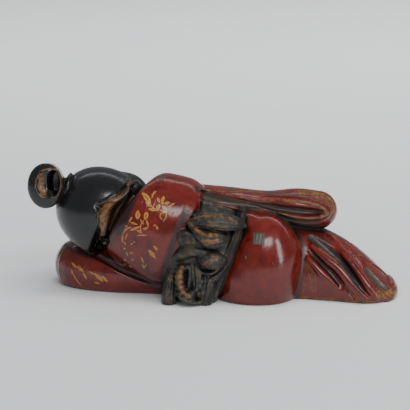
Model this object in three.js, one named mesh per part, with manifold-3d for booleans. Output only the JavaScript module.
// A lacquered wood netsuke: a robed figure asleep on its side, carved from one block.
// Millimetres, +Z up. The figure lies along X, the topknot at -X and the hem at +X.
// Its back and the bow of its sash look towards -Y, and its face towards +Y.
// The origin is the middle of the underside.

import * as THREE from 'three';
import { LoftGeometry } from 'three/addons/geometries/LoftGeometry.js';
import { mergeVertices } from 'three/addons/utils/BufferGeometryUtils.js';
import Module from 'manifold-3d';

const wasm = await Module();
wasm.setup();

// Driving dimensions, in millimetres.
const LENGTH = 75; // topknot to hem
const CORD_HOLE_WIDE = 3.6; // the cord hole that takes the knot
const CORD_HOLE_NARROW = 2.6; // the cord hole that the cord alone passes
const CORD_BRIDGE = 6.5; // wood left between the two cord holes
const CORD_TUNNEL_DEPTH = 4.6; // how far the two cord holes run in before they meet

// The pose, the proportions and the carving are shares of the length: places and radii below
// count in hundredths of LENGTH, and turns in degrees.
const SHARE = LENGTH / 100;
const CORD_MIDDLE = 13 * SHARE; // the cord holes lie under the hips, near the point of balance
const LIFT = [0, 0, 1];

// Turns a closed three.js geometry into a solid that can be joined and cut.
function solid(geometry) {
  const bare = geometry.index ? geometry.toNonIndexed() : geometry.clone();
  bare.deleteAttribute('normal');
  bare.deleteAttribute('uv');
  const merged = mergeVertices(bare, 1e-4);
  return new wasm.Manifold(new wasm.Mesh({
    numProp: 3,
    vertProperties: merged.attributes.position.array,
    triVerts: new Uint32Array(merged.index.array),
  }));
}

function join(...solids) {
  return solids.reduce((whole, next) => whole.add(next));
}

// A rounded mass: centre, three radii and a turn about X, Y and Z.
function mass(centre, radii, turn = [0, 0, 0], around = 28, down = 18) {
  const geometry = new THREE.SphereGeometry(SHARE, around, down);
  geometry.rotateX(Math.PI / 2);
  geometry.scale(...radii);
  const angles = turn.map(THREE.MathUtils.degToRad);
  geometry.applyMatrix4(new THREE.Matrix4().makeRotationFromEuler(new THREE.Euler(...angles)));
  geometry.translate(...centre.map((share) => share * SHARE));
  return solid(geometry);
}

// A roll of cloth or a gouge stroke: an ellipse carried along a smooth path, with round ends.
// Each station is [x, y, z, half width, half height]; lift says which way the height points, and
// blunt is how far an end swells past its last station, as a share of the smaller radius there.
function roll(stations, { lift = LIFT, sides = 12, steps = 3, blunt = 1 } = {}) {
  const spine = new THREE.CatmullRomCurve3(
    stations.map(([x, y, z]) => new THREE.Vector3(x, y, z)), false, 'catmullrom');
  const girth = new THREE.CatmullRomCurve3(
    stations.map(([, , , wide, high]) => new THREE.Vector3(wide, high, 0)), false, 'catmullrom');
  const up = new THREE.Vector3(...lift);
  const section = (t, shrink, reach) => {
    const along = spine.getTangent(t);
    const side = new THREE.Vector3().crossVectors(along, up).normalize();
    const high = new THREE.Vector3().crossVectors(side, along);
    const size = girth.getPoint(t);
    const centre = spine.getPoint(t).addScaledVector(along, reach * blunt * Math.min(size.x, size.y));
    return Array.from({ length: sides }, (_, i) => {
      const angle = (-2 * Math.PI * i) / sides;
      return centre.clone()
        .addScaledVector(side, size.x * shrink * Math.cos(angle))
        .addScaledVector(high, size.y * shrink * Math.sin(angle))
        .multiplyScalar(SHARE);
    });
  };
  const count = steps * (stations.length - 1);
  const caps = [80, 50, 22].map(THREE.MathUtils.degToRad);
  const sections = [
    ...caps.map((tip) => section(0, Math.cos(tip), -Math.sin(tip))),
    ...Array.from({ length: count + 1 }, (_, i) => section(i / count, 1, 0)),
    ...caps.toReversed().map((tip) => section(1, Math.cos(tip), Math.sin(tip))),
  ];
  return solid(new LoftGeometry(sections, { capStart: true, capEnd: true }));
}

// The half space beyond a plane: a large block whose face lies on the point and looks back along
// the direction.
function beyond(point, direction, size = 60) {
  const geometry = new THREE.BoxGeometry(size, size, size);
  geometry.translate(0, 0, size / 2);
  const turn = new THREE.Quaternion().setFromUnitVectors(
    new THREE.Vector3(0, 0, 1), new THREE.Vector3(...direction).normalize());
  geometry.applyQuaternion(turn);
  geometry.translate(...point);
  geometry.scale(SHARE, SHARE, SHARE);
  return solid(geometry);
}

// The head's own directions: down to the chin, up to the right ear, and out through the face.
const HEAD = [-31.2, 2.5, 22.4];
const HEAD_TILT = 22;
const HEAD_TURN = [0, HEAD_TILT, 0];

function onHead(chin, ear, face) {
  const tilt = THREE.MathUtils.degToRad(HEAD_TILT);
  return [
    HEAD[0] + chin * Math.cos(tilt) + ear * Math.sin(tilt),
    HEAD[1] + face,
    HEAD[2] - chin * Math.sin(tilt) + ear * Math.cos(tilt),
  ];
}

// A gouge stroke or a ridge on the head, each station given as [chin, ear, face, wide, high].
function headRoll(stations, options) {
  const placed = stations.map(([chin, ear, face, wide, high]) => [...onHead(chin, ear, face), wide, high]);
  return roll(placed, options);
}

function hair() {
  const crown = mass(onHead(0, 0, 0), [11.0, 11.4, 11.4], HEAD_TURN, 20, 14);
  const backLobe = mass(onHead(3.4, 4.6, -1.4), [9.0, 8.4, 6.6], HEAD_TURN, 16, 12);
  const lowLobe = mass(onHead(2.2, -4.4, -3.4), [7.4, 6.2, 7.0], HEAD_TURN, 14, 10);
  const napeSide = beyond([-27.2, 0, 21.0], [0.85, -0.3, -0.45]);
  const sideLock = mass(onHead(5.6, 8.0, 2.6), [5.4, 4.4, 3.8], HEAD_TURN, 12, 8);
  const brow = mass(onHead(3.4, -0.2, 11.2), [9.0, 4.4, 7.6], HEAD_TURN, 16, 10);
  return join(join(crown, backLobe, lowLobe).subtract(napeSide), sideLock).subtract(brow);
}

function neckAndFace() {
  const neck = roll([[-29, 3.2, 20.5, 8.0, 8.4], [-17, 2, 18, 9.0, 9.4]], { sides: 12, steps: 2 });
  const cheeks = mass(onHead(1.6, -0.2, 4.6), [8.8, 8.2, 8.0], HEAD_TURN, 18, 12);
  const chin = mass(onHead(8.0, -0.2, 9.8), [2.4, 2.2, 3.0], HEAD_TURN, 10, 8);
  const nose = headRoll([[-1.4, 0, 12.0, 0.7, 0.7], [2.2, 0, 12.9, 0.9, 0.9], [4.0, 0, 12.7, 1.5, 0.9]],
    { lift: [0, 1, 0], sides: 6, steps: 2 });
  const lips = mass(onHead(6.2, 0, 12.0), [0.9, 0.9, 1.9], HEAD_TURN, 10, 6);
  const eyes = [-1, 1].map((side) => headRoll([
    [-1.0, side * 1.5, 12.4, 0.3, 0.5], [-0.1, side * 3.2, 12.2, 0.35, 0.6],
    [-0.8, side * 4.9, 11.4, 0.3, 0.5],
  ], { lift: [0, 1, 0], sides: 5, steps: 1 }));
  return [...eyes].reduce((whole, eye) => whole.subtract(eye), join(neck, cheeks, chin, nose, lips));
}

// A looped topknot with a hollow turned to the back, tied to the crown by two rounds of cord.
function topknot() {
  const bun = roll([[-45.4, -2.6, 28.9, 4.6, 6.2], [-45.0, 3.0, 28.3, 4.4, 5.8]],
    { sides: 18, steps: 1, blunt: 0.5 });
  const hollow = roll([[-46.0, -7.0, 29.0, 2.9, 4.3], [-43.6, 1.0, 28.6, 2.4, 3.7]],
    { sides: 12, steps: 1, blunt: 0.4 });
  const stem = roll([[-42.4, 1, 27.8, 3.2, 3.7], [-36, 1.5, 25.5, 4.2, 4.6]], { sides: 12, steps: 1 });
  const ties = [[-40.9, 1.1, 27.2], [-39.3, 1.2, 26.7]].map(
    (centre) => mass(centre, [0.8, 3.9, 4.2], [0, 18, 0], 12, 6));
  return join(bun.subtract(hollow), stem, ...ties);
}

// The robe over the chest and back, cut off slanting at the neck.
function torso() {
  const barrel = roll([
    [-27.0, 1.4, 22.4, 10.6, 11.0], [-19, 0.7, 19.8, 12.8, 13.9], [-12, 0.3, 17.0, 13.6, 15.4],
    [-6.0, 0.0, 14.8, 12.8, 14.6],
  ], { sides: 26, steps: 2, blunt: 0.22 });
  return barrel.subtract(beyond([-24.2, -2.5, 20.9], [-0.79, 0.3, 0.53]));
}

// The neckband: one round from the nape over each shoulder, crossed on the chest, left over right.
function collar() {
  return join(
    roll([
      [-25.6, -8.4, 22.2, 1.1, 1.0], [-21.4, -7.4, 28.2, 1.1, 1.0], [-16.8, -1.4, 32.0, 1.1, 1.0],
      [-15.2, 7.4, 29.2, 1.4, 1.1], [-14.8, 12.2, 22.6, 1.5, 1.2], [-15.6, 13.0, 17.4, 1.3, 1.0],
    ], { lift: [1, 0, 0], sides: 6, steps: 2 }),
    roll([
      [-25.6, -8.4, 22.2, 1.1, 1.0], [-28.6, -6.4, 16.0, 1.1, 1.0], [-29.6, 0.6, 10.8, 1.1, 1.0],
      [-24.4, 9.6, 10.6, 1.5, 1.1], [-18.4, 13.0, 14.8, 1.6, 1.2], [-12.0, 13.5, 18.8, 1.6, 1.2],
      [-6.8, 11.8, 22.0, 1.4, 1.1],
    ], { lift: [1, 0, 0], sides: 6, steps: 2 }),
  );
}

function lowerSleeve() {
  return roll([
    [-4, -1.0, 4.6, 6.0, 6.8], [-18, 1.0, 4.6, 6.2, 6.8], [-29, 3.0, 4.8, 6.6, 7.1],
    [-37.0, 6.8, 5.0, 6.2, 7.1], [-36.8, 13.0, 4.6, 5.0, 6.4], [-27, 14.8, 4.4, 4.4, 5.6],
  ], { sides: 14, steps: 2 });
}

// The left hand lies palm down before the chest, its fingers together.
function hand() {
  const palm = mass([-21.6, 14.8, 3.6], [4.6, 3.2, 2.8], [0, 8, -6], 12, 8);
  const fingers = [-1.5, -0.5, 0.5, 1.5].map((row) => roll([
    [-19.4, 14.9 + row * 1.5, 3.6, 0.9, 1.2], [-14.6 - Math.abs(row - 0.3), 14.4 + row * 1.35, 2.0, 0.8, 1.1],
  ], { sides: 5, steps: 1 }));
  return join(palm, ...fingers);
}

// The right sleeve trails back over the hip; its mouth turns to the back.
function upperSleeve() {
  const cloth = roll([
    [-12, 3, 23.0, 8.5, 8.0], [-3, 3, 24.3, 7.4, 4.6], [4, 2.6, 24.4, 6.8, 3.8],
    [12, 2.0, 23.7, 6.8, 4.3], [21, 1.0, 23.2, 6.6, 5.1], [28.2, 0.4, 23.0, 5.8, 5.7],
  ], { sides: 18, steps: 2 });
  const mouth = roll([
    [9.4, -5.6, 25.0, 1.6, 0.5], [16, -6.2, 24.4, 2.6, 1.2], [22, -6.3, 23.7, 3.0, 1.7],
    [27.4, -5.6, 23.2, 2.4, 1.7],
  ], { sides: 8, steps: 2 });
  const upperFold = roll([
    [-2, -3.8, 29.0, 0.7, 0.5], [8, -4.0, 27.6, 0.9, 0.7], [18, -4.3, 27.7, 0.9, 0.7],
    [27, -4.6, 27.4, 0.9, 0.8], [31.6, -4.8, 25.2, 0.8, 0.6],
  ], { sides: 5, steps: 1 });
  const lowerFold = roll([
    [11, -4.9, 22.2, 0.8, 0.4], [17, -5.6, 20.9, 0.9, 0.6], [23, -5.4, 19.9, 0.9, 0.6],
    [28, -4.8, 19.8, 0.7, 0.4],
  ], { sides: 5, steps: 1 });
  return cloth.subtract(mouth).subtract(upperFold).subtract(lowerFold);
}

function sash() {
  const band = roll([[-5.0, 0.6, 14.6, 12.4, 13.2], [3.4, 0.6, 12.0, 12.0, 13.0]],
    { sides: 24, steps: 1, blunt: 0.2 });
  const edge = roll([
    [-3.0, -9.2, 22.2, 0.7, 0.7], [-2.4, -5.6, 26.2, 0.7, 0.7], [3.0, -5.2, 25.0, 0.7, 0.7],
    [7.4, -6.4, 23.0, 0.7, 0.7], [7.0, -9.6, 19.6, 0.7, 0.7],
  ], { sides: 5, steps: 1 });
  return join(band, edge);
}

// The bow of the sash: a flat loop over a knot, turned lobes below it, a scalloped loop and an end.
function bow() {
  const folds = [
    [[-3.4, -10.6, 11.8], [5.4, 3.2, 11.0], [0, 20, 0]],
    [[0.8, -11.2, 21.9], [5.2, 3.4, 2.5], [0, 8, 0]],
    [[-0.8, -12.6, 17.7], [4.3, 3.0, 2.7], [0, 24, 0]],
    [[-7.2, -11.6, 17.8], [3.2, 2.8, 3.2], [0, 14, 0]],
    [[-5.8, -12.4, 13.3], [3.4, 2.6, 2.7], [0, 12, 0]],
    [[-1.2, -12.8, 11.7], [3.6, 2.8, 3.2], [0, -18, 0]],
    [[-1.2, -11.8, 4.8], [3.4, 3.0, 5.8], [0, 8, 0]],
  ].map(([centre, radii, turn]) => mass(centre, radii, turn, 10, 8));
  const loop = mass([-8.2, -11.6, 5.6], [5.2, 3.4, 5.9], [0, 8, 0], 14, 8);
  const loopHollow = roll([
    [-9.4, -15.2, 9.0, 0.8, 1.2], [-11.2, -15.0, 4.8, 0.9, 1.4], [-8.8, -15.2, 1.4, 0.8, 1.4],
    [-5.6, -15.2, 3.4, 0.8, 1.2],
  ], { lift: [0, 1, 0], sides: 5, steps: 2 });
  const endFold = roll([[-1.0, -15.0, 8.8, 0.6, 0.8], [-2.0, -15.0, 2.0, 0.6, 0.9]],
    { lift: [0, 1, 0], sides: 5, steps: 1 });
  return join(...folds, loop).subtract(loopHollow).subtract(endFold);
}

function hips() {
  const seat = mass([13.0, -5.2, 7.6], [11.0, 10.8, 15.4], [0, 8, 0], 24, 16);
  const thigh = mass([12.0, 3.0, 9.5], [16.0, 11.0, 13.2], [0, 0, 0], 18, 12);
  const knees = mass([20.4, 6.2, 7.6], [12.6, 11.0, 10.4], [0, 14, 0], 16, 12);
  return join(seat, thigh, knees);
}

function skirt() {
  const cloth = roll([
    [14, 2, 6, 10.5, 14.5], [25, 1.0, 5, 10.5, 13.5], [34, -0.5, 3.6, 11.0, 10.8],
    [42, -1.6, 1.8, 11.8, 6.6], [46.7, -2.0, 0.8, 9.8, 3.6],
  ], { sides: 24, steps: 2 });
  const ridges = [
    [[24.0, -6.0, 14.4, 0.9, 0.9], [30.0, -8.4, 10.8, 1.3, 1.1], [35.4, -11.2, 6.2, 1.3, 1.1],
      [40.8, -13.0, 1.0, 0.9, 0.9]],
    [[24.6, -7.8, 11.6, 0.7, 0.8], [28.4, -9.6, 7.6, 1.0, 1.0], [31.2, -10.6, 4.2, 0.8, 0.8]],
  ].map((stations) => roll(stations, { sides: 5, steps: 1 }));
  const grooves = [
    [[24.4, -7.9, 13.0, 0.7, 0.7], [27.6, -9.6, 10.4, 1.0, 1.1], [30.0, -10.8, 8.0, 1.1, 1.2],
      [31.9, -12.0, 5.2, 0.7, 0.7]],
    [[26.4, -3.6, 18.2, 1.2, 1.0], [31.1, -6.6, 14.4, 1.9, 1.6], [34.9, -9.4, 11.2, 2.0, 1.7],
      [39.4, -13.2, 4.9, 1.8, 1.5], [42.2, -15.2, 0.6, 1.4, 1.2]],
    [[40.0, -7.4, 9.6, 0.6, 0.6], [43.4, -10.2, 6.2, 1.7, 1.4], [46.8, -12.2, 2.6, 2.2, 1.3]],
  ].map((stations) => roll(stations, { sides: 6, steps: 1 }));
  const overlap = roll([
    [24, 16.4, 9.4, 0.7, 0.8], [31, 13.2, 7.0, 0.8, 1.0], [38, 11.0, 4.4, 0.8, 1.0],
    [45, 8.6, 2.0, 0.8, 1.0],
  ], { sides: 5, steps: 1 });
  return [...grooves, overlap].reduce((whole, groove) => whole.subtract(groove), join(cloth, ...ridges));
}

// A hole drilled into the underside at x, slanting to the point where the two cord holes meet.
function cordHole(x, diameter) {
  const mouth = new THREE.Vector3(x, 0, 0);
  const along = new THREE.Vector3(CORD_MIDDLE, 0, CORD_TUNNEL_DEPTH).sub(mouth);
  const length = along.length();
  const start = -diameter;
  const end = length + diameter / 2;
  const drill = new THREE.CylinderGeometry(diameter / 2, diameter / 2, end - start, 16);
  drill.rotateX(Math.PI / 2);
  along.normalize();
  drill.applyQuaternion(new THREE.Quaternion().setFromUnitVectors(new THREE.Vector3(0, 0, 1), along));
  drill.translate(...mouth.addScaledVector(along, (start + end) / 2).toArray());
  return solid(drill);
}

function cordTunnel() {
  const wide = cordHole(CORD_MIDDLE - (CORD_BRIDGE + CORD_HOLE_WIDE) / 2, CORD_HOLE_WIDE);
  const narrow = cordHole(CORD_MIDDLE + (CORD_BRIDGE + CORD_HOLE_NARROW) / 2, CORD_HOLE_NARROW);
  return join(wide, narrow);
}

function geometryOf(shape) {
  const { vertProperties, triVerts } = shape.getMesh();
  const geometry = new THREE.BufferGeometry();
  geometry.setAttribute('position', new THREE.BufferAttribute(new Float32Array(vertProperties), 3));
  geometry.setIndex(new THREE.BufferAttribute(new Uint32Array(triVerts), 1));
  return geometry;
}

// The carved block, standing on its flat underside with the middle of its outline at the origin.
function figure() {
  const block = join(
    hair(), neckAndFace(), topknot(), torso(), collar(), lowerSleeve(), hand(), upperSleeve(), sash(),
    bow(), hips(), skirt(),
  ).subtract(beyond([0, 0, 0], [0, 0, -1], 140));
  const shape = geometryOf(block);
  shape.computeBoundingBox();
  const middle = shape.boundingBox.getCenter(new THREE.Vector3());
  shape.translate(-middle.x, -middle.y, 0);
  return geometryOf(solid(shape).subtract(cordTunnel()));
}

const redLacquer = new THREE.MeshStandardMaterial({ color: 0x7a1f18, roughness: 0.25, metalness: 0 });
const carved = new THREE.Mesh(figure(), redLacquer);
carved.name = 'reclining_figure';

const netsuke = new THREE.Group();
netsuke.add(carved);

export default netsuke;
